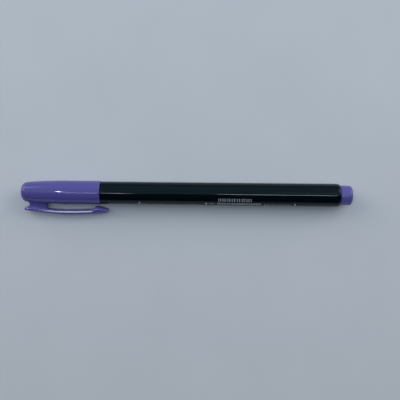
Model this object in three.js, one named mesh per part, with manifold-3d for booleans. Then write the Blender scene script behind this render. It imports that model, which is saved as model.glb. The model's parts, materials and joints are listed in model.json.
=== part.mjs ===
// A capped fabric marking pen with a flexible brush nib, lying on its side on its cap and clip.
//
// Units are millimetres. Each piece is modelled upright: its axis is Y, its lower end is at y = 0,
// and the clip is on the +X side. A piece is then placed at its station, the distance from the
// closed end of the cap. The finished pen is laid down along X with its tail towards +X, rolled
// until the clip touches the table, and centred over the origin with the table at z = 0.

import * as THREE from "three";
import { mergeVertices } from "three/addons/utils/BufferGeometryUtils.js";
import Module from "manifold-3d";

const wasm = await Module();
wasm.setup();

// ---------------------------------------------------------------- driving dimensions

const LENGTH = 142.5; // capped, end to end
const CAP_LENGTH = 34.1;
const PLUG_EXPOSED = 5.35; // how far the tail plug stands out of the barrel

const CAP_MOUTH_R = 5.05;
const CAP_CROWN = { drop: 0.95, length: 20 }; // how the cap narrows to its closed end
const CAP_CORNER = { radial: 2.3, axial: 2.6, dome: 0.12 };
const CAP_LIP = 0.45; // the rounding of its mouth
const CAP_END_WALL = 1.3;
const CAP_SEAT = { r: 4.4, depth: 10.7 }; // the bore that grips the front section
const CAP_LINER_BORE_R = 3.6;

const BARREL = { frontR: 4.83, rearR: 5.0, boreR: 3.9, cornerLength: 1.7, cornerDrop: 0.6 };
const RIB = { count: 6, width: 0.7, height: 0.55, start: 16, length: 74 };

const SEAT_R = 4.2; // the front section's neck, under the cap
const SNAP_BEAD = { r: 4.33, station: 28, halfLength: 0.7 };
const SEAL_LAND = { r: 2.95, start: 21.2, end: 22.9 };
const NOSE = { station: 16.5, r: 1.75, edge: 0.25, hole: 1.3, holeEnd: 18.5 };
const SPIGOT = { r: 3.82, end: 45.5 }; // the part of the front section inside the barrel

const NIB = { tipStation: 11, baseR: 1.15, pointR: 0.32, flangeR: 2.0, flangeStart: 18.7 };
const NIB_SPLIT = 16.25; // where the nib bends, just outside the nose
const HOLDER = { r: 2.1, boreR: 1.15, start: 20.2, flangeR: 3.05, flangeStart: 34.5, end: 35.5 };
const WICK = { r: 0.95, start: 19.0, end: 46.0 };
const RESERVOIR = { start: 35.8, end: 127.2, coreR: 2.85, filmR: 3.1, filmWall: 0.2 };

// The clip from its tail to its tip: the distance of its outer and inner faces from the pen's axis,
// at equal steps along it, and the pad near the tip that presses the cloth against the cap. Its
// sides lean in towards the cap, and its outer face is crowned.
const CLIP = {
  tail: 1.1,
  tip: 37,
  outerR: [8.1, 8.57, 9.08, 9.62, 9.7, 9.53, 9.22, 8.85],
  innerR: [6.45, 6.92, 7.38, 7.68, 7.71, 7.58, 7.3, 6.9],
  halfWidth: 2.03,
  sideDepth: 0.95,
  sideLean: 0.145,
  innerEdge: 0.15,
  steps: 30,
};
const PAD = { middle: 31.9, rise: 1.5, fall: 5.1, height: 1.2 };
const CLIP_SPLIT = 10.7; // where the arm starts to flex, in front of its leg
const LEG = { start: 3.2, end: 10.4, width: 3.2, footR: 4.1, topR: 7.5 };
const GUSSET = { topR: 5.4, length: 0.6 }; // thickens the leg where it meets the cap

const GAP = 0.3; // between two pieces that are one moulding, at a flexing line
const FIT = 0.1; // between pieces that rest on each other
const SIDES = 36; // facets round a large piece
const FINE_SIDES = 24; // facets round a small piece

const PLUG = { r: 4.3, endR: 4.25, cornerR: 1.4, spigotR: 3.82, spigotLength: 8.6, boreR: 2.9 };

const BARREL_START = CAP_LENGTH + 0.15;
const BARREL_LENGTH = LENGTH - PLUG_EXPOSED - BARREL_START;

const PURPLE = { color: 0x6a61b8, roughness: 0.28, metalness: 0 };
const BLACK = { color: 0x10161b, roughness: 0.2, metalness: 0 };
const NATURAL = { color: 0xe8e8e4, roughness: 0.5, metalness: 0 };
const ELASTOMER = { color: 0x3f3582, roughness: 0.6, metalness: 0 };
const FIBRE = { color: 0x5a4fa5, roughness: 0.95, metalness: 0 };
const FILM = { color: 0xdfe3ea, roughness: 0.25, metalness: 0 };

// ---------------------------------------------------------------- helpers

/** Points of a quarter ellipse round (r, y), from angle a to angle b in quarter turns. */
function corner(r, y, radiusR, radiusY, a, b, steps = 4) {
  const points = [];
  for (let i = 0; i <= steps; i++) {
    const t = ((a + ((b - a) * i) / steps) * Math.PI) / 2;
    points.push([r + radiusR * Math.cos(t), y + radiusY * Math.sin(t)]);
  }
  return points;
}

/** A solid of revolution about Y from [radius, height] points, listed from the outside's foot upwards. */
function turned(points, sides = SIDES) {
  return new THREE.LatheGeometry(
    points.map(([r, y]) => new THREE.Vector2(r, y)),
    sides,
  );
}

/** A tube's profile: the outside upwards, the inside downwards, closed on itself. */
function closed(points) {
  return [...points, points[0]];
}

/**
 * A closed skin over a row of rings that all have the same number of points. The points run
 * anticlockwise when they are seen from the last ring.
 */
function loft(rings) {
  const around = rings[0].length;
  const points = rings.flat();
  const triangles = [];
  for (let ring = 0; ring < rings.length - 1; ring++) {
    for (let i = 0; i < around; i++) {
      const a = ring * around + i;
      const b = ring * around + ((i + 1) % around);
      triangles.push(a, b, a + around, b, b + around, a + around);
    }
  }
  const last = (rings.length - 1) * around;
  for (let i = 1; i < around - 1; i++) {
    triangles.push(0, i + 1, i);
    triangles.push(last, last + i, last + i + 1);
  }
  const geometry = new THREE.BufferGeometry().setFromPoints(points);
  geometry.setIndex(triangles);
  geometry.computeVertexNormals();
  return geometry;
}

/** A box that spans the given ranges. */
function block([x0, x1], [y0, y1], [z0, z1]) {
  const geometry = new THREE.BoxGeometry(x1 - x0, y1 - y0, z1 - z0);
  return geometry.translate((x0 + x1) / 2, (y0 + y1) / 2, (z0 + z1) / 2);
}

/** A geometry as a solid that can be joined and cut. */
function solid(geometry) {
  const bare = new THREE.BufferGeometry();
  bare.setAttribute("position", geometry.getAttribute("position"));
  bare.setIndex(geometry.index);
  const merged = mergeVertices(bare, 1e-4);
  return new wasm.Manifold(
    new wasm.Mesh({
      numProp: 3,
      vertProperties: merged.attributes.position.array,
      triVerts: new Uint32Array(merged.index.array),
    }),
  );
}

/** A joined or cut solid as a geometry again. */
function geometryOf(body) {
  const { vertProperties, triVerts } = body.getMesh();
  const geometry = new THREE.BufferGeometry();
  geometry.setAttribute("position", new THREE.BufferAttribute(vertProperties, 3));
  geometry.setIndex(new THREE.BufferAttribute(triVerts, 1));
  geometry.computeVertexNormals();
  return geometry;
}

/** A named mesh whose foot is at a station along the pen. */
function piece(name, geometry, finish, station) {
  const mesh = new THREE.Mesh(geometry, new THREE.MeshStandardMaterial(finish));
  mesh.name = name;
  mesh.position.y = station;
  return mesh;
}

// ---------------------------------------------------------------- cap

/** The cap's outer radius at a distance from its closed end. */
function capRadius(y) {
  const rise = Math.max(0, 1 - y / CAP_CROWN.length);
  return CAP_MOUTH_R - CAP_CROWN.drop * rise * rise;
}

function capProfile() {
  const edge = 0.15;
  const { radial, axial, dome } = CAP_CORNER;
  const shoulder = dome + axial;
  const crown = [];
  for (const share of [0.25, 0.4, 0.6, 0.8, 1]) {
    const y = CAP_CROWN.length * share;
    crown.push([capRadius(y), y]);
  }
  const seatEnd = CAP_LENGTH - CAP_SEAT.depth;
  return [
    [0, 0],
    [1.2, 0],
    ...corner(capRadius(shoulder) - radial, shoulder, radial, axial, -1, 0, 6),
    ...crown,
    ...corner(CAP_MOUTH_R - CAP_LIP, CAP_LENGTH - CAP_LIP, CAP_LIP, CAP_LIP, 0, 1, 3),
    [CAP_SEAT.r + edge, CAP_LENGTH],
    [CAP_SEAT.r, CAP_LENGTH - 2 * edge],
    [CAP_SEAT.r, seatEnd],
    [CAP_LINER_BORE_R, seatEnd],
    [CAP_LINER_BORE_R, CAP_END_WALL],
    [0, CAP_END_WALL],
  ];
}

/** The value at a share of the way along a row of equally spaced ones, smoothly joined. */
function along(values, share) {
  const curve = new THREE.SplineCurve(values.map((value, i) => new THREE.Vector2(i, value)));
  return curve.getPoint(share).y;
}

/** How far the clip's pad stands in from its inner face at a distance from the cap's closed end. */
function padHeight(y) {
  const reach = y < PAD.middle ? PAD.rise : PAD.fall;
  const offset = Math.min(1, Math.abs(y - PAD.middle) / reach);
  return (PAD.height * (1 + Math.cos(Math.PI * offset))) / 2;
}

/** Half of the clip's cross-section, as [x, half width] from its crown to its inner face. */
function clipHalfSection(outer, inner) {
  const side = inner + CLIP.sideDepth;
  const points = [];
  for (const degrees of [90, 65, 40, 18, 0]) {
    const angle = THREE.MathUtils.degToRad(degrees);
    points.push([side + (outer - side) * Math.sin(angle), CLIP.halfWidth * Math.cos(angle)]);
  }
  const innerHalfWidth = CLIP.halfWidth - CLIP.sideLean;
  points.push([inner + CLIP.innerEdge, innerHalfWidth], [inner, innerHalfWidth - CLIP.innerEdge]);
  return points;
}

/** A whole cross-section of the clip, which shrinks to close an end. */
function clipSection(y) {
  const share = (y - CLIP.tail) / (CLIP.tip - CLIP.tail);
  const outer = along(CLIP.outerR, share);
  const inner = along(CLIP.innerR, share) - padHeight(y);
  const fromEnd = Math.min(1, (0.12 + Math.min(y - CLIP.tail, CLIP.tip - y)) / 0.8);
  const fullness = Math.sqrt(1 - (1 - fromEnd) ** 2);
  const middle = (outer + inner) / 2;
  const narrowing = 1 - 0.4 * (1 - fullness);
  const half = clipHalfSection(outer, inner).map(([x, halfWidth]) => [
    middle + (x - middle) * fullness,
    halfWidth * narrowing,
  ]);
  const ring = half.map(([x, halfWidth]) => new THREE.Vector3(x, y, -halfWidth));
  for (const [x, halfWidth] of half.slice(1).reverse()) {
    ring.push(new THREE.Vector3(x, y, halfWidth));
  }
  return ring;
}

/** The roll that brings the clip's fullest section down to the table under a cap of radius r. */
function restRoll(r) {
  const outer = Math.max(...CLIP.outerR);
  const inner = Math.max(...CLIP.innerR);
  const half = clipHalfSection(outer, inner);
  const drop = (roll) => half.map(([x, width]) => x * Math.sin(roll) + width * Math.cos(roll));
  let low = 0;
  let high = Math.PI / 4;
  for (let i = 0; i < 40; i++) {
    const roll = (low + high) / 2;
    if (Math.max(...drop(roll)) < r) {
      low = roll;
    } else {
      high = roll;
    }
  }
  return low;
}

/** The length of the clip between two stations: a bowed bar with closely spaced rings at its ends. */
function clipBar(start, end) {
  const stations = [0, 0.12, 0.3, 0.6].map((step) => start + step);
  const spacing = (CLIP.tip - CLIP.tail) / CLIP.steps;
  for (let y = start + spacing; y < end - 0.9; y += spacing) {
    stations.push(y);
  }
  stations.push(...[0.6, 0.3, 0.12, 0].map((step) => end - step));
  return loft(stations.map(clipSection));
}

/** The leg that joins the clip to the cap, with a gusset at each side of its foot. */
function clipLeg() {
  const side = new THREE.Shape();
  side.moveTo(LEG.footR, LEG.start - GUSSET.length);
  side.lineTo(GUSSET.topR, LEG.start);
  side.lineTo(LEG.topR, LEG.start);
  side.lineTo(LEG.topR, LEG.end);
  side.lineTo(GUSSET.topR, LEG.end);
  side.lineTo(LEG.footR, LEG.end + GUSSET.length);
  const geometry = new THREE.ExtrudeGeometry(side, { depth: LEG.width, bevelEnabled: false });
  return geometry.translate(0, 0, -LEG.width / 2);
}

/** The purple cap: a closed tube moulded with the clip's leg and the stiff rear end of the clip. */
function capShell() {
  const shell = solid(turned(capProfile()));
  const root = clipBar(CLIP.tail, CLIP_SPLIT - GAP / 2);
  return geometryOf(shell.add(solid(clipLeg())).add(solid(root)));
}

/** The springy length of the clip, from the front of its leg to its tip. */
function clipArm() {
  return clipBar(CLIP_SPLIT + GAP / 2, CLIP.tip);
}

/** The thin liner inside the cap that closes round the nose and keeps the nib from drying. */
function innerCap() {
  const length = 21.1;
  const outer = 3.44;
  const bead = 3.53;
  const inner = 3.05;
  const floor = 0.7;
  const beads = [3, length - 3];
  const ring = (y) => [
    [outer, y - 0.5],
    [bead, y],
    [outer, y + 0.5],
  ];
  return turned([
    [0, 0],
    [outer - 0.3, 0],
    [outer, 0.3],
    ...beads.flatMap(ring),
    [outer, length - 0.2],
    [outer - 0.15, length],
    [inner + 0.1, length],
    [inner, length - 0.4],
    [inner, floor + 0.3],
    [inner - 0.3, floor],
    [0, floor],
  ]);
}

// ---------------------------------------------------------------- writing end

/** The black nose and neck: the nib stands out of it, the cap grips it, the barrel holds it. */
function frontSection() {
  const y = (station) => station - NOSE.station;
  const bead = SNAP_BEAD.station;
  const cone = 2.8;
  const relief = { r: 2.7, start: 25 }; // thins the wall behind the land that centres the holder
  return turned(
    closed([
      [NOSE.hole, 0],
      [NOSE.r - NOSE.edge, 0],
      [NOSE.r, NOSE.edge],
      [cone, y(SEAL_LAND.start - 0.2)],
      [SEAL_LAND.r, y(SEAL_LAND.start)],
      [SEAL_LAND.r, y(SEAL_LAND.end + 0.4)],
      [SEAT_R - 0.3, y(SEAL_LAND.end + 0.6)],
      [SEAT_R, y(SEAL_LAND.end + 1.1)],
      [SEAT_R, y(bead - SNAP_BEAD.halfLength)],
      [SNAP_BEAD.r, y(bead)],
      [SEAT_R, y(bead + SNAP_BEAD.halfLength)],
      [SEAT_R, y(BARREL_START - FIT)],
      [SPIGOT.r, y(BARREL_START - FIT)],
      [SPIGOT.r, y(SPIGOT.end - 0.5)],
      [SPIGOT.r - 0.3, y(SPIGOT.end)],
      [RESERVOIR.filmR + FIT, y(SPIGOT.end)],
      [RESERVOIR.filmR + FIT, y(HOLDER.flangeStart - FIT)],
      [relief.r, y(HOLDER.flangeStart - FIT)],
      [relief.r, y(relief.start)],
      [HOLDER.r + FIT, y(relief.start)],
      [HOLDER.r + FIT, y(NOSE.holeEnd)],
      [NOSE.hole, y(NOSE.holeEnd)],
    ]),
  );
}

/** The bending part of the elastomer nib, a slender brush point. Its base is rounded so that it can turn. */
function brushTip() {
  const base = NIB_SPLIT - GAP / 2;
  const length = base - NIB.tipStation;
  const belly = (share) => {
    const fullness = Math.sqrt(Math.max(0, share)) * (1 - 0.12 * share);
    return NIB.pointR + (NIB.baseR - NIB.pointR) * Math.min(1, 1.12 * fullness);
  };
  const sides = [0.12, 0.25, 0.4, 0.6, 0.8].map((share) => [belly(share), length * share]);
  return turned(
    [
      [0, 0],
      [0.2, 0.05],
      [NIB.pointR, 0.25],
      ...sides,
      [NIB.baseR, length - 0.4],
      [0.8, length],
      [0, length],
    ],
    FINE_SIDES,
  );
}

/** The nib's stem and flange, trapped in the nose. It is one moulding with the brush tip. */
function nibRoot() {
  const start = NIB_SPLIT + GAP / 2;
  const y = (station) => station - start;
  const socketR = WICK.r + FIT;
  return turned(
    [
      [0, 0],
      [NIB.baseR - 0.15, 0],
      [NIB.baseR, 0.15],
      [NIB.baseR, y(NIB.flangeStart)],
      [NIB.flangeR, y(NIB.flangeStart)],
      [NIB.flangeR, y(HOLDER.start - FIT)],
      [socketR, y(HOLDER.start - FIT)],
      [socketR, y(WICK.start - FIT)],
      [0, y(WICK.start - FIT)],
    ],
    FINE_SIDES,
  );
}

/** The sleeve that clamps the nib's flange from behind and guides the wick. */
function nibHolder() {
  const y = (station) => station - HOLDER.start;
  return turned(
    closed([
      [HOLDER.boreR, 0],
      [HOLDER.r - 0.15, 0],
      [HOLDER.r, 0.15],
      [HOLDER.r, y(HOLDER.flangeStart)],
      [HOLDER.flangeR, y(HOLDER.flangeStart)],
      [HOLDER.flangeR, y(HOLDER.end)],
      [HOLDER.boreR, y(HOLDER.end)],
    ]),
    FINE_SIDES,
  );
}

/** The fibre rod that draws ink from the reservoir to the nib. */
function feedWick() {
  const length = WICK.end - WICK.start;
  return turned(
    [
      [0, 0],
      [WICK.r - 0.25, 0],
      [WICK.r, 0.25],
      [WICK.r, length - 0.5],
      [WICK.r - 0.4, length],
      [0, length],
    ],
    FINE_SIDES,
  );
}

// ---------------------------------------------------------------- barrel and ink

/** The black tube that is held in the hand, with ribs inside that centre the reservoir. */
function barrelTube() {
  const edge = 0.15;
  const tube = turned(
    closed([
      [BARREL.boreR, 0],
      [BARREL.frontR - edge, 0],
      [BARREL.frontR, edge],
      ...corner(
        BARREL.rearR - BARREL.cornerDrop,
        BARREL_LENGTH - BARREL.cornerLength,
        BARREL.cornerDrop,
        BARREL.cornerLength,
        0,
        1,
        5,
      ),
      [BARREL.boreR, BARREL_LENGTH],
    ]),
  );
  let body = solid(tube);
  const ribTop = [BARREL.boreR - RIB.height, BARREL.boreR + 0.3];
  for (let i = 0; i < RIB.count; i++) {
    const rib = block(ribTop, [RIB.start, RIB.start + RIB.length], [-RIB.width / 2, RIB.width / 2]);
    body = body.add(solid(rib.rotateY((2 * Math.PI * i) / RIB.count)));
  }
  return geometryOf(body);
}

/** The bundle of fibres that holds the ink, with the socket that the wick is pushed into. */
function reservoirCore() {
  const length = RESERVOIR.end - RESERVOIR.start;
  const socket = WICK.end + FIT - RESERVOIR.start;
  const socketR = WICK.r + FIT;
  return turned([
    [socketR, 0],
    [RESERVOIR.coreR, 0],
    [RESERVOIR.coreR, length],
    [0, length],
    [0, socket],
    [socketR, socket],
    [socketR, 0],
  ]);
}

/** The plastic film wrapped round the fibres. */
function reservoirFilm() {
  const length = RESERVOIR.end - RESERVOIR.start;
  const inner = RESERVOIR.filmR - RESERVOIR.filmWall;
  return turned(
    closed([
      [inner, 0],
      [RESERVOIR.filmR, 0],
      [RESERVOIR.filmR, length],
      [inner, length],
    ]),
  );
}

/** The purple plug pressed into the rear of the barrel: a hollow spigot with two gripping rings. */
function tailPlug() {
  const spigot = PLUG.spigotLength;
  const length = spigot + PLUG_EXPOSED - FIT;
  const endWall = 1.4;
  const ringR = 3.87;
  const ring = (y) => [
    [PLUG.spigotR, y - 0.5],
    [ringR, y],
    [PLUG.spigotR, y + 0.5],
  ];
  return turned([
    [0, length - endWall],
    [PLUG.boreR, length - endWall],
    [PLUG.boreR, 0],
    [PLUG.spigotR - 0.4, 0],
    [PLUG.spigotR, 0.8],
    ...[2.6, 6.0].flatMap(ring),
    [PLUG.spigotR, spigot],
    [PLUG.r, spigot],
    ...corner(PLUG.endR - PLUG.cornerR, length - PLUG.cornerR, PLUG.cornerR, PLUG.cornerR, 0, 1),
    [0, length],
  ]);
}

// ---------------------------------------------------------------- assembly

const cap = new THREE.Group();
cap.add(
  piece("cap_shell", capShell(), PURPLE, 0),
  piece("clip_arm", clipArm(), PURPLE, 0),
  piece("inner_cap", innerCap(), NATURAL, CAP_END_WALL + GAP),
);

const writingEnd = new THREE.Group();
writingEnd.add(
  piece("brush_tip", brushTip(), ELASTOMER, NIB.tipStation),
  piece("nib_root", nibRoot(), ELASTOMER, NIB_SPLIT + GAP / 2),
  piece("nib_holder", nibHolder(), NATURAL, HOLDER.start),
  piece("feed_wick", feedWick(), FIBRE, WICK.start),
  piece("front_section", frontSection(), BLACK, NOSE.station),
);

const body = new THREE.Group();
body.add(
  piece("barrel", barrelTube(), BLACK, BARREL_START),
  piece("reservoir_core", reservoirCore(), FIBRE, RESERVOIR.start),
  piece("reservoir_film", reservoirFilm(), FILM, RESERVOIR.start),
  piece("tail_plug", tailPlug(), PURPLE, LENGTH - PLUG_EXPOSED + FIT - PLUG.spigotLength),
);

const pen = new THREE.Group();
pen.add(cap, writingEnd, body);
pen.rotation.set(restRoll(CAP_MOUTH_R), 0, -Math.PI / 2);

const laid = new THREE.Box3().setFromObject(pen, true);
const middle = laid.getCenter(new THREE.Vector3());
pen.position.set(-middle.x, -middle.y, -laid.min.z);

export default new THREE.Group().add(pen);
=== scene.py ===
"""The looks of a capped fabric marking pen that lies on a pale table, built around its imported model."""

import json
import math

import bpy
from mathutils import Matrix, Quaternion, Vector


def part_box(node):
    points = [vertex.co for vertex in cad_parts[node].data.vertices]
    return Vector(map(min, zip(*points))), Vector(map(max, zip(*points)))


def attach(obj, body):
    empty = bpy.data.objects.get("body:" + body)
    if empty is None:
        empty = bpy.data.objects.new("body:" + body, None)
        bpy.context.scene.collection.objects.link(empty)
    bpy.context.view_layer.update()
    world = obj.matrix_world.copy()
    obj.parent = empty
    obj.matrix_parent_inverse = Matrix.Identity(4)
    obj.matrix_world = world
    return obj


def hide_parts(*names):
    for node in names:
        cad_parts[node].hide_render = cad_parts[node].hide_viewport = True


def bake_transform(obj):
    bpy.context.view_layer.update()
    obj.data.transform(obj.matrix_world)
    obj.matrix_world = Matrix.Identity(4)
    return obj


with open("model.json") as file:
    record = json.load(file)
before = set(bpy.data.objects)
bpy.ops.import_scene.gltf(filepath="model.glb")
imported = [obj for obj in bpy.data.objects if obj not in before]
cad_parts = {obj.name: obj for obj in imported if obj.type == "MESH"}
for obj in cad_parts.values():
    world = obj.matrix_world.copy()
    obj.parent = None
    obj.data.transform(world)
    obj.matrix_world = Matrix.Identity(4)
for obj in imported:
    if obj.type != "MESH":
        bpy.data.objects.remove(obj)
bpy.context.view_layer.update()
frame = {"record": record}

# ---------------------------------------------------------------- the pen's own coordinates
#
# Shapes are in millimetres: s along the pen from the cap's closed end, r from its axis,
# c towards the clip and w across the clip. place() turns them into the frame's metres.

MM = 0.001
JOINTS = {joint["name"]: joint for joint in frame["record"]["behaviour"]["joints"]}

ALONG = Vector((1, 0, 0))
ACROSS = Vector(JOINTS["clip_flex"]["axis"]).normalized()
TO_CLIP = ACROSS.cross(ALONG)


def closed_end():
    """The middle of the cap's closed end."""
    low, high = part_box("barrel")
    return Vector((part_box("cap_shell")[0][0], (low[1] + high[1]) / 2, (low[2] + high[2]) / 2))


END = closed_end()


def place(s, c, w):
    """The frame's point at s along the pen, c towards the clip and w across it."""
    return END + (ALONG * s + TO_CLIP * c + ACROSS * w) * MM


def span(node):
    """Where a node starts and ends along the pen."""
    low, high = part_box(node)
    return (low[0] - END.x) / MM, (high[0] - END.x) / MM


BARREL_START, BARREL_END = span("barrel")
CAP_END = BARREL_START - 0.15  # the cap's mouth, just short of the barrel
NIB_HINGE_S = (JOINTS["nib_flex"]["pos_m"][0] - END.x) / MM

CAP_MOUTH_R = 5.05
BARREL_FRONT_R = 4.83
BARREL_REAR_R = 5.0
BARREL_BORE_R = 3.9
SPIGOT_R = 3.82  # the parts that are pushed into the barrel
NECK_R = 4.2  # the part of the front section under the cap
LARGE = 128  # sides round a large piece
SMALL = 72  # sides round a small piece


# ---------------------------------------------------------------- mesh helpers


def piece(name, vertices, faces, sharp=32):
    """A new smooth-shaded object, with its faces pointing out and its real edges kept crisp."""
    mesh = bpy.data.meshes.new(name)
    mesh.from_pydata([tuple(vertex) for vertex in vertices], [], faces)
    mesh.validate()
    mesh.shade_smooth()
    mesh.set_sharp_from_angle(angle=math.radians(sharp))
    made = bpy.data.objects.new(name, mesh)
    bpy.context.collection.objects.link(made)
    return made


def rounded(corners, steps=6):
    """A polyline whose corners (a, b, fillet) are rounded off by curves that start a fillet away."""
    points = []
    for i, (a, b, fillet) in enumerate(corners):
        here = Vector((a, b))
        if fillet == 0 or i in (0, len(corners) - 1):
            points.append((a, b))
            continue
        before = Vector(corners[i - 1][:2]) - here
        after = Vector(corners[i + 1][:2]) - here
        start = here + before.normalized() * min(fillet, before.length * 0.49)
        end = here + after.normalized() * min(fillet, after.length * 0.49)
        for step in range(steps + 1):
            t = step / steps
            points.append(tuple(start * (1 - t) ** 2 + here * 2 * t * (1 - t) + end * t**2))
    return points


def ellipse(s, r, along, out, start, end, steps):
    """Points of a quarter of an ellipse round (s, r), with its angle running in quarter turns."""
    points = []
    for step in range(steps + 1):
        angle = math.radians(90) * (start + (end - start) * step / steps)
        points.append((s + along * math.sin(angle), r + out * math.cos(angle)))
    return points


def revolve(profile, sides):
    """Vertices and faces of a profile of (s, r) points turned round the pen's axis.

    The profile runs from the axis to the axis, or it is a loop without its last point.
    """
    vertices = []
    rings = []
    for s, r in profile:
        if r < 1e-6:
            rings.append([len(vertices)])
            vertices.append(place(s, 0, 0))
            continue
        rings.append(range(len(vertices), len(vertices) + sides))
        for i in range(sides):
            angle = 2 * math.pi * i / sides
            vertices.append(place(s, r * math.cos(angle), r * math.sin(angle)))
    faces = []
    loop = len(rings[0]) > 1
    for k in range(len(rings) if loop else len(rings) - 1):
        low, high = rings[k], rings[(k + 1) % len(rings)]
        for i in range(sides):
            j = (i + 1) % sides
            if len(low) == 1:
                faces.append((low[0], high[j], high[i]))
            elif len(high) == 1:
                faces.append((low[i], low[j], high[0]))
            else:
                faces.append((low[i], low[j], high[j], high[i]))
    return vertices, faces


def loft(rings):
    """Vertices and faces of a skin over rings of points, closed by a fan at each end."""
    around = len(rings[0])
    vertices = [point for ring in rings for point in ring]
    faces = []
    for k in range(len(rings) - 1):
        for i in range(around):
            j = (i + 1) % around
            faces.append((k * around + i, (k + 1) * around + i, (k + 1) * around + j, k * around + j))
    for ring, reverse in ((0, False), (len(rings) - 1, True)):
        centre = len(vertices)
        vertices.append(sum(rings[ring], Vector()) / around)
        for i in range(around):
            edge = (ring * around + i, ring * around + (i + 1) % around)
            faces.append((centre, *(edge[::-1] if reverse else edge)))
    return vertices, faces


def turned_piece(name, profile, sides=LARGE):
    return piece(name, *revolve(profile, sides))


def along_curve(values, share):
    """The value at a share of the way along equally spaced ones, joined by a Catmull-Rom curve."""
    last = len(values) - 1
    position = min(max(share, 0), 1) * last
    i = min(int(position), last - 1)
    t = position - i
    p0, p1, p2, p3 = (values[min(max(k, 0), last)] for k in (i - 1, i, i + 1, i + 2))
    slope = (p2 - p0) / 2
    bend = p0 - 2.5 * p1 + 2 * p2 - p3 / 2
    twist = 1.5 * (p1 - p2) + (p3 - p0) / 2
    return p1 + slope * t + bend * t**2 + twist * t**3


def superellipse(half_a, half_b, corner, count):
    """Points of a rectangle with rounded corners, as (a, b) pairs."""
    corner = min(corner, half_a * 0.98, half_b * 0.98)
    points = []
    per_corner = count // 4
    for quarter in range(4):
        sign_a = 1 if quarter in (0, 3) else -1
        sign_b = 1 if quarter < 2 else -1
        for i in range(per_corner):
            angle = math.radians(90) * (quarter + i / (per_corner - 1))
            a = sign_a * (half_a - corner) + corner * math.cos(angle)
            b = sign_b * (half_b - corner) + corner * math.sin(angle)
            points.append((a, b))
    return points


# ---------------------------------------------------------------- materials

NOISE_LOW, NOISE_HIGH = 0.3, 0.7  # the range that most values of a noise are in


class Look:
    """A Principled material whose colour, roughness and relief come from noise in the frame's metres."""

    def __init__(self, name, **sockets):
        self.material = bpy.data.materials.new(name)
        self.material.use_nodes = True
        self.tree = self.material.node_tree
        self.shader = self.tree.nodes["Principled BSDF"]
        self.height = None
        for socket, value in sockets.items():
            self.shader.inputs[socket.replace("_", " ")].default_value = value
        coordinates = self.tree.nodes.new("ShaderNodeTexCoord")
        self.position = coordinates.outputs["Object"]

    def node(self, kind):
        return self.tree.nodes.new(kind)

    def link(self, output, socket):
        self.tree.links.new(output, socket)

    def noise(self, size_mm, detail=3.0, stretch=1.0):
        """Noise with features of a size, drawn out along the pen by a factor."""
        mapping = self.node("ShaderNodeMapping")
        mapping.inputs["Scale"].default_value = (1 / stretch, 1, 1)
        self.link(self.position, mapping.inputs["Vector"])
        texture = self.node("ShaderNodeTexNoise")
        texture.inputs["Scale"].default_value = 1 / (size_mm * MM)
        texture.inputs["Detail"].default_value = detail
        self.link(mapping.outputs["Vector"], texture.inputs["Vector"])
        return texture.outputs["Fac"]

    def colours(self, factor, dark, light, low=NOISE_LOW, high=NOISE_HIGH):
        """Colours the surface from dark to light by a factor."""
        ramp = self.node("ShaderNodeValToRGB")
        first, last = ramp.color_ramp.elements
        first.position, last.position = low, high
        first.color, last.color = (*dark, 1), (*light, 1)
        self.link(factor, ramp.inputs["Fac"])
        self.link(ramp.outputs["Color"], self.shader.inputs["Base Color"])

    def rough(self, factor, low, high):
        """Varies the roughness from low to high by a factor."""
        node = self.node("ShaderNodeMapRange")
        node.inputs["From Min"].default_value = NOISE_LOW
        node.inputs["From Max"].default_value = NOISE_HIGH
        node.inputs["To Min"].default_value = low
        node.inputs["To Max"].default_value = high
        self.link(factor, node.inputs["Value"])
        self.link(node.outputs["Result"], self.shader.inputs["Roughness"])

    def relief(self, factor, depth_mm):
        """Adds relief of a depth to what is there already."""
        bump = self.node("ShaderNodeBump")
        bump.inputs["Strength"].default_value = 1
        bump.inputs["Distance"].default_value = depth_mm * MM
        self.link(factor, bump.inputs["Height"])
        if self.height:
            self.link(self.height, bump.inputs["Normal"])
        self.height = bump.outputs["Normal"]
        self.link(self.height, self.shader.inputs["Normal"])


def moulded_plastic(name, dark, light, roughness, peel_mm=0.004, **sockets):
    """Polished moulded plastic: faint flow marks along the pen, orange peel and hairline scuffs."""
    look = Look(name, **sockets)
    flow = look.noise(9, detail=4, stretch=4)
    look.colours(flow, dark, light)
    look.rough(look.noise(1.6, detail=5, stretch=3), roughness * 0.85, roughness * 1.25)
    look.relief(look.noise(1.8, detail=2), peel_mm)
    look.relief(look.noise(0.12, detail=2, stretch=14), peel_mm * 0.12)
    return look.material


def soft_nib():
    """Ink-stained elastomer, darker and wetter in patches, with a faint turned grain."""
    look = Look("ink_stained_elastomer", Subsurface_Weight=0.08, Subsurface_Scale=0.0006)
    look.colours(look.noise(1.2, detail=4, stretch=2), (0.03, 0.022, 0.14), (0.085, 0.066, 0.33))
    look.rough(look.noise(0.5, detail=3), 0.3, 0.55)
    look.relief(look.noise(0.18, detail=3, stretch=0.4), 0.01)
    return look.material


def bonded_fibre():
    """Ink-soaked fibres that run along the pen."""
    look = Look("ink_soaked_fibre", Sheen_Weight=0.3)
    strands = look.noise(0.09, detail=4, stretch=40)
    look.colours(strands, (0.04, 0.03, 0.17), (0.17, 0.14, 0.5))
    look.rough(look.noise(0.8), 0.75, 0.95)
    look.relief(strands, 0.03)
    return look.material


def wrapping_film():
    """Thin glossy film with fine creases round it."""
    look = Look("wrapping_film")
    look.colours(look.noise(3, detail=5, stretch=2), (0.6, 0.63, 0.7), (0.82, 0.84, 0.88))
    look.rough(look.noise(1.0, stretch=3), 0.12, 0.3)
    look.relief(look.noise(0.7, detail=4, stretch=0.25), 0.03)
    return look.material


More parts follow.
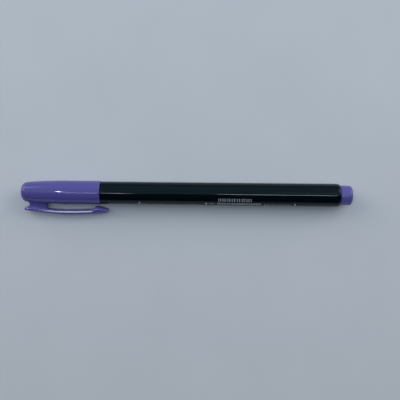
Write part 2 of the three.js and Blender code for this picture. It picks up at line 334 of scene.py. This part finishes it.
def print_ink():
    """Opaque screen-printed ink, a little uneven, with pinholes."""
    look = Look("print_ink")
    look.colours(look.noise(0.25, detail=4), (0.42, 0.44, 0.46), (0.7, 0.72, 0.74), 0.35, 0.55)
    look.rough(look.noise(0.4), 0.35, 0.6)
    look.relief(look.noise(0.1, detail=3), 0.004)
    return look.material


def table_top():
    """Smooth pale laminate with a barely visible mottle."""
    look = Look("pale_table", Specular_IOR_Level=0.25)
    look.colours(look.noise(38, detail=5), (0.68, 0.67, 0.705), (0.705, 0.695, 0.73))
    look.rough(look.noise(6, detail=4), 0.5, 0.62)
    look.relief(look.noise(0.5, detail=3), 0.01)
    return look.material


PURPLE = moulded_plastic(
    "purple_cap_plastic",
    dark=(0.119, 0.093, 0.365),
    light=(0.134, 0.104, 0.405),
    roughness=0.06,
    peel_mm=0.002,
)
PLUG_PURPLE = moulded_plastic(
    "purple_plug_plastic",
    dark=(0.125, 0.105, 0.37),
    light=(0.145, 0.12, 0.42),
    roughness=0.16,
)
BLACK = moulded_plastic(
    "black_barrel_plastic",
    dark=(0.0005, 0.0038, 0.007),
    light=(0.0012, 0.005, 0.009),
    roughness=0.07,
    Specular_IOR_Level=0.25,
)
NATURAL = moulded_plastic(
    "natural_liner_plastic",
    dark=(0.66, 0.66, 0.62),
    light=(0.76, 0.76, 0.72),
    roughness=0.42,
    Subsurface_Weight=0.15,
    Subsurface_Scale=0.001,
)
ELASTOMER = soft_nib()
FIBRE = bonded_fibre()
FILM = wrapping_film()
INK = print_ink()


def finish_piece(made, look, body=None, nodes=()):
    """Gives a piece its material, its body and the CAD nodes that it stands for."""
    made.data.materials.append(look)
    if body:
        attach(made, body)
    if nodes:
        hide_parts(*nodes)
    return made


# ---------------------------------------------------------------- cap

CAP_CROWN = 0.95  # how much narrower the cap is at its closed end than at its mouth
CAP_CROWN_LENGTH = 20
DOME = {"sag": 0.12, "axial": 2.6, "radial": 2.3}  # the rounding of its closed end
CAP_LIP = 0.6  # how far from the mouth its rounding starts
CAP_SEAT = {"r": 4.4, "depth": 10.7}  # the bore that grips the front section
CAP_BORE_R = 3.6  # the bore that holds the liner
CAP_END_WALL = 1.3


def cap_radius(s):
    """The outside of the cap, which narrows a little towards its closed end."""
    rise = max(0, 1 - s / CAP_CROWN_LENGTH)
    return CAP_MOUTH_R - CAP_CROWN * rise**2


def cap_profile():
    """The cap from the middle of its closed end, over its outside and back up its bore."""
    shoulder = DOME["sag"] + DOME["axial"]
    gate = [(0.06, 0), (0.06, 0.45), (0, 0.6), (0, 1.2)]
    dome_centre_r = cap_radius(shoulder) - DOME["radial"]
    dome = ellipse(shoulder, dome_centre_r, -DOME["axial"], DOME["radial"], 1, 0, 14)
    lip_start = CAP_END - CAP_LIP
    seat_end = CAP_END - CAP_SEAT["depth"]
    side_steps = 40
    side = []
    for step in range(1, side_steps):
        s = shoulder + (lip_start - shoulder) * step / side_steps
        side.append((s, cap_radius(s)))
    mouth = rounded(
        [
            (lip_start, CAP_MOUTH_R, 0),
            (CAP_END, CAP_MOUTH_R, 0.5),
            (CAP_END, CAP_SEAT["r"], 0.12),
            (seat_end, CAP_SEAT["r"], 0.1),
            (seat_end, CAP_BORE_R, 0.1),
            (CAP_END_WALL, CAP_BORE_R, 0.6),
            (CAP_END_WALL, 0, 0),
        ]
    )
    return gate + dome + side + mouth


def cap_body():
    made = turned_piece("cap", cap_profile())
    return finish_piece(made, PURPLE, "cap", ["cap_shell"])


# The clip's outer and inner faces, as distances from the pen's axis at equal steps from tail to tip.
CLIP_TAIL, CLIP_TIP = 1.1, 37.0
CLIP_OUTER = (8.1, 8.57, 9.08, 9.62, 9.7, 9.53, 9.22, 8.85)
CLIP_INNER = (6.45, 6.92, 7.38, 7.68, 7.71, 7.58, 7.3, 6.9)
CLIP_HALF_WIDTH = 2.03
CLIP_END_ROUNDING = 0.9
SIDE_DEPTH, SIDE_LEAN, SIDE_BOW = 0.95, 0.145, 0.0015  # its sides lean in towards the cap
PAD = {"middle": 31.9, "rise": 1.5, "fall": 5.1, "height": 1.2}
PAD_LEAN = 0.3  # how much more its sides lean for each millimetre of the pad's height


def pad_height(s):
    """How far the pad near the tip stands in from the clip's inner face."""
    reach = PAD["rise"] if s < PAD["middle"] else PAD["fall"]
    offset = min(1, abs(s - PAD["middle"]) / reach)
    return PAD["height"] * (1 + math.cos(math.pi * offset)) / 2


def clip_faces(s):
    """The inner and outer distance of the clip from the axis, pad included."""
    share = (s - CLIP_TAIL) / (CLIP_TIP - CLIP_TAIL)
    return along_curve(CLIP_INNER, share) - pad_height(s), along_curve(CLIP_OUTER, share)


def clip_half_section(inner, outer, lean):
    """Half of the clip's outline as (c, w): a crowned outer face, a leaning side, a flat inner face."""
    side = inner + SIDE_DEPTH
    foot = CLIP_HALF_WIDTH - lean
    crown = []
    crown_steps = 10
    for step in range(crown_steps + 1):
        angle = math.radians(90) * (1 - step / crown_steps)
        crown.append((side + (outer - side) * math.sin(angle), CLIP_HALF_WIDTH * math.cos(angle)))
    edge = rounded([(side, CLIP_HALF_WIDTH, 0), (inner, foot, 0.22), (inner, 0, 0)], 5)
    start, end = Vector(edge[0]), Vector(edge[1])
    bowed = []
    for share in (0.1, 0.3, 0.5, 0.7, 0.9):
        c, w = start.lerp(end, share)
        bowed.append((c, w + SIDE_BOW * (1 - (2 * share - 1) ** 2)))
    return crown + bowed + edge[1:]


def clip_ring(s):
    """The clip's whole outline at s, smaller within its rounded ends."""
    inner, outer = clip_faces(s)
    from_end = min(1, min(s - CLIP_TAIL, CLIP_TIP - s) / CLIP_END_ROUNDING)
    fullness = 0.2 + 0.8 * math.sqrt(max(0, 1 - (1 - from_end) ** 2))
    middle = (outer + inner) / 2
    narrowing = 1 - 0.45 * (1 - fullness)
    lean = SIDE_LEAN + PAD_LEAN * pad_height(min(s, PAD["middle"]))
    section = clip_half_section(inner, outer, lean)
    half = [(middle + (c - middle) * fullness, w * narrowing) for c, w in section]
    return [place(s, c, w) for c, w in half] + [place(s, c, -w) for c, w in half[-2:0:-1]]


def clip_bar():
    """The whole clip as one springy bar from its tail to its tip."""
    steps = 110
    rings = []
    for step in range(steps + 1):
        share = (1 - math.cos(math.pi * step / steps)) / 2
        rings.append(clip_ring(CLIP_TAIL + (CLIP_TIP - CLIP_TAIL) * share))
    made = piece("clip", *loft(rings), sharp=50)
    finish_piece(made, PURPLE, nodes=["clip_arm"])
    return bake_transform(made)


LEG_START, LEG_END, LEG_WIDTH = 3.2, 10.4, 3.2
LEG_PROW = 0.5  # how far its front bulges past its end
LEG_FOOT_FLARE, LEG_HEAD_FLARE = 0.65, 0.35  # how far it spreads onto the cap and the clip
LEG_SINK, LEG_RISE = 0.12, 0.25  # how far it reaches into the cap's wall and into the clip


def leg_ring(share):
    """A section of the leg, from just inside the cap's wall to just inside the clip, flared at both."""
    foot = max(0, 1 - share / 0.35)
    head = max(0, 1 - (1 - share) / 0.3)
    flare = LEG_FOOT_FLARE * foot**2.4 + LEG_HEAD_FLARE * head**2.4
    middle = (LEG_START + LEG_END) / 2
    half_length = (LEG_END - LEG_START) / 2 + flare
    ring = []
    for along, w in superellipse(half_length, LEG_WIDTH / 2 + flare * 0.8, 0.7, 48):
        front = max(0, along / half_length) ** 2
        s = middle + along + LEG_PROW * front
        w *= 1 - 0.4 * front
        bottom = math.sqrt(cap_radius(max(s, 2.4)) ** 2 - w * w) - LEG_SINK
        top = clip_faces(s)[0] + LEG_RISE
        ring.append(place(s, bottom + (top - bottom) * share, w))
    return ring


def clip_leg():
    """The leg that joins the clip to the cap, as part of the same moulding."""
    steps = 18
    rings = [leg_ring(step / steps) for step in range(steps + 1)]
    made = piece("clip_leg", *loft(rings), sharp=50)
    return finish_piece(made, PURPLE, "cap")


def bead(middle, half_length, r, proud, fillet):
    """Corners of a rounded ring that stands out from a turned surface."""
    return [
        (middle - half_length, r, 0.1),
        (middle, r + proud, fillet),
        (middle + half_length, r, 0.1),
    ]


def cap_liner():
    """The thin cup inside the cap that closes round the nose, with two gripping beads."""
    start, end = span("inner_cap")
    outer_r, inner_r = 3.44, 3.05
    floor = start + 0.7
    corners = [
        (start, 0, 0),
        (start, outer_r, 0.35),
        *bead(start + 3, 0.5, outer_r, 0.09, 0.3),
        *bead(end - 3, 0.5, outer_r, 0.09, 0.3),
        (end, outer_r, 0.15),
        (end, inner_r, 0.15),
        (floor, inner_r, 0.5),
        (floor, 0, 0),
    ]
    made = turned_piece("liner", rounded(corners), SMALL)
    return finish_piece(made, NATURAL, "liner", ["inner_cap"])


# ---------------------------------------------------------------- writing end

NOSE_HOLE_R = 1.3
NOSE_HOLE_END = 18.5  # where the hole for the nib opens into the chamber for its flange


def nose_and_neck():
    """The nose, the land that the liner seals on, the neck with its snap bead, and the spigot."""
    start, end = span("front_section")
    land_r = 2.95
    shoulder = BARREL_START - 0.1
    chamber_r, holder_bore_r, rear_bore_r = 2.2, 2.7, 3.2
    chamber_end, holder_bore_end = 25.0, 34.4
    corners = [
        (start, NOSE_HOLE_R, 0.08),
        (start, 1.75, 0.2),
        (21.0, 2.85, 0.8),
        (21.3, land_r, 0.1),
        (23.25, land_r, 0.25),
        (23.5, 3.9, 0.2),
        (24.1, NECK_R, 0.4),
        (27.2, NECK_R, 0.3),
        (28.0, NECK_R + 0.13, 0.5),
        (28.8, NECK_R, 0.3),
        (shoulder, NECK_R, 0.15),
        (shoulder, SPIGOT_R, 0.05),
        (end - 0.5, SPIGOT_R, 0.2),
        (end, 3.5, 0.1),
        (end, rear_bore_r, 0.05),
        (holder_bore_end, rear_bore_r, 0.1),
        (holder_bore_end, holder_bore_r, 0.1),
        (chamber_end, holder_bore_r, 0.1),
        (chamber_end, chamber_r, 0.1),
        (NOSE_HOLE_END, chamber_r, 0.1),
        (NOSE_HOLE_END, NOSE_HOLE_R, 0.1),
        (start, NOSE_HOLE_R, 0),
    ]
    made = turned_piece("front_end", rounded(corners)[1:-1])
    return finish_piece(made, BLACK, "pen", ["front_section"])


def brush_nib():
    """The soft nib with its stem and flange, its base at the nib's hinge."""
    tip = span("brush_tip")[0]
    end = span("nib_root")[1]
    base_r, flange_r, socket_r = 1.15, 2.0, 1.05
    flange_start, socket_start = 18.7, 18.9
    length = NIB_HINGE_S - tip
    profile = [(tip, 0)]
    steps = 36
    for step in range(1, steps + 1):
        share = (step / steps) ** 1.6
        fullness = min(1, 0.16 + 0.94 * share**0.52)
        rounding = math.sqrt(1 - (1 - min(1, share * 28)) ** 2)
        profile.append((tip + length * share, base_r * fullness * rounding))
    profile += rounded(
        [
            (NIB_HINGE_S + 0.3, base_r, 0),
            (flange_start, base_r, 0.1),
            (flange_start, flange_r, 0.15),
            (end, flange_r, 0.15),
            (end, socket_r, 0.05),
            (socket_start, socket_r, 0.05),
            (socket_start, 0, 0),
        ]
    )
    made = turned_piece("brush_nib", profile, SMALL)
    finish_piece(made, ELASTOMER, nodes=["brush_tip", "nib_root"])
    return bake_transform(made)


def holder():
    """The sleeve that clamps the nib's flange and guides the wick."""
    start, end = span("nib_holder")
    bore_r, sleeve_r, flange_r = 1.15, 2.1, 3.05
    flange_start = end - 1
    corners = [
        (start, bore_r, 0.08),
        (start, sleeve_r, 0.2),
        (flange_start, sleeve_r, 0.15),
        (flange_start, flange_r, 0.15),
        (end, flange_r, 0.2),
        (end, bore_r, 0.1),
        (start, bore_r, 0),
    ]
    made = turned_piece("nib_clamp", rounded(corners)[1:-1], SMALL)
    return finish_piece(made, NATURAL, "pen", ["nib_holder"])


def wick():
    """The fibre rod between the reservoir and the nib, with rounded ends."""
    start, end = span("feed_wick")
    r = 0.95
    corners = [(start, 0, 0), (start, r, 0.3), (end, r, 0.6), (end, 0, 0)]
    made = turned_piece("wick", rounded(corners), SMALL)
    return finish_piece(made, FIBRE, "pen", ["feed_wick"])


# ---------------------------------------------------------------- barrel and ink

RIB_COUNT = 6
RIB_START, RIB_END = BARREL_START + 16, BARREL_START + 90
BARREL_CORNER = {"length": 1.7, "drop": 0.6}  # the rounding of its rear end


def rib_section():
    """The outline of a rib across the pen, from inside the barrel's wall round its rounded top."""
    root_r, side_r, shoulder_r, top_r = 4.1, 3.5, 3.37, 3.35
    half = [(root_r, 0.35), (side_r, 0.35), (shoulder_r, 0.2)]
    return [(r, -w) for r, w in half] + [(top_r, 0)] + half[::-1]


def add_ribs(vertices, faces):
    """The ribs inside the barrel that centre the reservoir."""
    section = rib_section()
    for rib in range(RIB_COUNT):
        turn = Matrix.Rotation(2 * math.pi * rib / RIB_COUNT, 2)
        outline = [turn @ Vector(point) for point in section]
        first = len(vertices)
        count = len(outline)
        for s in (RIB_START, RIB_END):
            vertices.extend(place(s, c, w) for c, w in outline)
        for i in range(count):
            j = (i + 1) % count
            faces.append((first + j, first + i, first + count + i, first + count + j))
        faces.append(tuple(first + i for i in range(count)))
        faces.append(tuple(first + count + i for i in reversed(range(count))))


def barrel_profile():
    """The barrel from its bore, over its front edge and its slightly tapered side to its rear edge."""
    length, drop = BARREL_CORNER["length"], BARREL_CORNER["drop"]
    side_end = BARREL_END - length
    corners = [
        (BARREL_START, BARREL_BORE_R, 0),
        (BARREL_START, BARREL_FRONT_R, 0.18),
        (side_end, BARREL_REAR_R, 0),
    ]
    profile = rounded(corners)[:-1]
    start_s, start_r = profile[-1]
    side_steps = 24
    for step in range(1, side_steps):
        share = step / side_steps
        s = start_s + (side_end - start_s) * share
        profile.append((s, start_r + (BARREL_REAR_R - start_r) * share))
    profile += ellipse(side_end, BARREL_REAR_R - drop, length, drop, 0, 1, 14)
    profile.append((BARREL_END, BARREL_BORE_R))
    return profile


def barrel_tube():
    profile = barrel_profile()
    vertices, faces = revolve(profile, LARGE)
    add_ribs(vertices, faces)
    made = piece("barrel_tube", vertices, faces)
    return finish_piece(made, BLACK, "pen", ["barrel"])


def barrel_radius(s):
    """The outside of the barrel, which widens a little towards its rear."""
    share = (s - BARREL_START) / (BARREL_END - BARREL_START)
    return BARREL_FRONT_R + (BARREL_REAR_R - BARREL_FRONT_R) * share


def print_bar(vertices, faces, start, end, angle, height):
    """A thin printed bar that follows the barrel, at an angle from straight up towards the clip."""
    steps = 4
    sunk, proud = -0.02, 0.02
    up = Vector((0, 0, 1))
    side = Vector((0, -1, 0))
    first = len(vertices)
    for s in (start, end):
        for lift in (sunk, proud):
            r = barrel_radius(s) + lift
            for i in range(steps + 1):
                turn = math.radians(angle) + (i / steps - 0.5) * height / r
                vertices.append(place(s, 0, 0) + (up * math.cos(turn) + side * math.sin(turn)) * r * MM)
    row = steps + 1
    for i in range(steps):
        a = first + i
        faces.append((a, a + 1, a + 2 * row + 1, a + 2 * row))
        faces.append((a + row, a + 3 * row, a + 3 * row + 1, a + row + 1))
        faces.append((a, a + row, a + row + 1, a + 1))
        faces.append((a + 2 * row, a + 2 * row + 1, a + 3 * row + 1, a + 3 * row))
    for a in (first, first + steps):
        ends = (a, a + 2 * row, a + 3 * row, a + row)
        faces.append(ends if a == first else ends[::-1])


# Rows of plain bars in place of print.
PRINT_ROWS = (
    # start, end, angle, bar height, bar length, gap between bars
    (50.8, 51.3, 71, 1.7, 0.5, 1),
    (79.3, 80.1, 70, 1.1, 0.8, 1),
    (80.8, 84.2, 68, 0.25, 3.4, 1),
    (84.9, 99.7, 44, 1.65, 0.21, 0.52),
    (84.4, 103.0, 69, 1.0, 0.42, 0.3),
    (104.6, 116.2, 76, 0.8, 0.4, 0.7),
    (117.4, 118.2, 73, 1.8, 0.8, 1),
)


def barrel_print():
    """The rows of bars, whose lengths vary round the given one."""
    vertices, faces = [], []
    shortest = 0.3  # the least room that a row's last bar needs
    for start, end, angle, height, length, gap in PRINT_ROWS:
        s = start
        count = 0
        while s < end - shortest:
            stretch = 1 + 0.35 * math.sin(2.3 * count + angle)
            stop = min(end, s + length * stretch)
            print_bar(vertices, faces, s, stop, angle, height)
            s = stop + gap
            count += 1
    return finish_piece(piece("barrel_print", vertices, faces), INK, "pen")


def ink_core():
    """The bundle of ink-soaked fibres, with the socket that the wick is pushed into."""
    start, end = span("reservoir_core")
    socket_end = 46.1
    socket_r, core_r = 1.05, 2.85
    corners = [
        (socket_end, 0, 0),
        (socket_end, socket_r, 0.1),
        (start, socket_r, 0.1),
        (start, core_r, 0.25),
        (end, core_r, 0.25),
        (end, 0, 0),
    ]
    made = turned_piece("ink_core", rounded(corners), SMALL)
    return finish_piece(made, FIBRE, "pen", ["reservoir_core"])


def core_wrap():
    """The film round the bundle of fibres."""
    start, end = span("reservoir_film")
    inner_r, outer_r, fillet = 2.9, 3.1, 0.05
    corners = [
        (start, inner_r, fillet),
        (start, outer_r, fillet),
        (end, outer_r, fillet),
        (end, inner_r, fillet),
        (start, inner_r, 0),
    ]
    made = turned_piece("core_wrap", rounded(corners)[1:-1], SMALL)
    return finish_piece(made, FILM, "pen", ["reservoir_film"])


def end_plug():
    """The plug in the rear of the barrel, with a hollow ribbed spigot and a gate mark on its end."""
    start, end = span("tail_plug")
    shoulder = start + 8.6
    wall, bore_r = 1.4, 2.9
    corner = 1.4
    face_r = 4.25
    inside = rounded(
        [
            (end - wall, 0, 0),
            (end - wall, bore_r, 0.4),
            (start, bore_r, 0.1),
            (start, 3.5, 0.15),
            (start + 0.8, SPIGOT_R, 0.2),
            *bead(start + 2.6, 0.5, SPIGOT_R, 0.05, 0.2),
            *bead(start + 6.0, 0.5, SPIGOT_R, 0.05, 0.2),
            (shoulder, SPIGOT_R, 0.05),
            (shoulder, 4.3, 0.12),
            (end - corner, face_r, 0),
        ]
    )
    edge = ellipse(end - corner, face_r - corner, corner, corner, 0, 1, 16)[1:]
    gate_floor = end - 0.05
    gate = [(end, 0.75), (gate_floor, 0.65), (gate_floor, 0)]
    made = turned_piece("end_plug", inside + edge + gate)
    return finish_piece(made, PLUG_PURPLE, "pen", ["tail_plug"])


# ---------------------------------------------------------------- studio

VIEW_ELEVATION = math.radians(80)  # above the table, from the clip's side
VIEW_ROLL = math.radians(0.66)
VIEW_DISTANCE = 0.2405  # metres
VIEW_S, VIEW_DROP = 77.0, 2.7  # the point it looks at: how far along the pen and below its axis
LENS = 50
BACK = Vector((0, -math.cos(VIEW_ELEVATION), math.sin(VIEW_ELEVATION)))
PICTURE_UP = Vector((0, BACK.z, -BACK.y))


def camera():
    """Looks almost straight down at a point just past the pen's middle."""
    target = place(VIEW_S, 0, 0) - PICTURE_UP * VIEW_DROP * MM
    data = bpy.data.cameras.new("camera")
    data.lens = LENS
    data.clip_start = 0.01
    made = bpy.data.objects.new("camera", data)
    bpy.context.collection.objects.link(made)
    made.location = target + BACK * VIEW_DISTANCE
    made.rotation_mode = "QUATERNION"
    aim = (-BACK).to_track_quat("-Z", "Y")
    made.rotation_quaternion = aim @ Quaternion((0, 0, 1), VIEW_ROLL)
    bpy.context.scene.camera = made


def table():
    half = 4
    vertices = [(-half, -half, 0), (half, -half, 0), (half, half, 0), (-half, half, 0)]
    made = piece("table_top", vertices, [(0, 1, 2, 3)])
    made.data.materials.append(table_top())


def panel(name, centre, size, radiance, colour, aim=None):
    """A soft rectangular light that shines along a direction, or else on the pen."""
    data = bpy.data.lights.new(name, "AREA")
    data.shape = "RECTANGLE"
    data.size, data.size_y = size
    data.energy = radiance * math.pi * size[0] * size[1]
    data.color = colour
    made = bpy.data.objects.new(name, data)
    bpy.context.collection.objects.link(made)
    made.location = centre
    direction = Vector(aim) if aim else -Vector(centre)
    made.rotation_mode = "QUATERNION"
    made.rotation_quaternion = direction.to_track_quat("-Z", "Y")
    made.visible_camera = False


def surroundings():
    """A dim room, darker near the horizon than overhead."""
    world = bpy.data.worlds.new("room")
    bpy.context.scene.world = world
    world.use_nodes = True
    nodes, links = world.node_tree.nodes, world.node_tree.links
    background = nodes["Background"]
    coordinates = nodes.new("ShaderNodeTexCoord")
    split = nodes.new("ShaderNodeSeparateXYZ")
    ramp = nodes.new("ShaderNodeValToRGB")
    horizon, high = ramp.color_ramp.elements
    horizon.position, high.position = 0.2, 0.5
    horizon.color, high.color = (0.012, 0.015, 0.018, 1), (0.028, 0.031, 0.034, 1)
    links.new(coordinates.outputs["Generated"], split.inputs["Vector"])
    links.new(split.outputs["Z"], ramp.inputs["Fac"])
    links.new(ramp.outputs["Color"], background.inputs["Color"])


DOWN, FORWARD = (0, 0, -1), (0, -1, 0)
SKY, PALE_SKY = (0.44, 0.74, 1.0), (0.6, 0.85, 1.0)
WARM, COOL = (1.0, 0.9, 0.76), (0.9, 0.96, 1.0)


def above_axis(height):
    """The y at which the line from the pen's axis towards the camera reaches a height."""
    return END.y + BACK.y / BACK.z * height


def room_lights():
    """A low dim ceiling over the far side, the wall at its end, and a softbox at each side."""
    height, depth = 0.4, 0.9
    near_edge = above_axis(height) - 0.053
    wall_y = near_edge + depth
    overhead = (0, near_edge + depth / 2, height)
    panel("ceiling", overhead, size=(1.2, depth), radiance=0.6, colour=SKY, aim=DOWN)
    behind = (0, wall_y, height / 2)
    panel("wall", behind, size=(1.6, height), radiance=0.3, colour=PALE_SKY, aim=FORWARD)
    for name, x in (("softbox_left", -0.75), ("softbox_right", 0.75)):
        panel(name, (x, 0.4, 0.4), size=(0.75, 0.8), radiance=1.8, colour=WARM)


def overhead_lamps():
    """Narrow lamps that draw the bright lines along the pen, and the bright spot on its cap."""
    height = 1.0
    lamps = (
        # name, start and end along the pen, distance towards the front, width, radiance
        ("strip_right", 0.045, 0.34, 0.08, 0.035, 21),
        ("strip_left", -0.225, -0.165, 0.12, 0.035, 23),
        ("strip_cap", -0.32, -0.228, 0.12, 0.04, 11),
        ("strip_far", 0.17, 0.42, -0.3, 0.06, 1.2),
        ("spot", -0.351, -0.331, -0.07, 0.22, 36),
    )
    for name, start, end, forward, width, radiance in lamps:
        centre = ((start + end) / 2, above_axis(height) - forward, height)
        panel(name, centre, (end - start, width), radiance, COOL, DOWN)


def main():
    camera()
    cap_body()
    clip_bar()
    clip_leg()
    cap_liner()
    nose_and_neck()
    brush_nib()
    holder()
    wick()
    barrel_tube()
    barrel_print()
    ink_core()
    core_wrap()
    end_plug()
    table()
    surroundings()
    room_lights()
    overhead_lamps()
    bpy.context.scene.view_settings.view_transform = "Standard"


main()
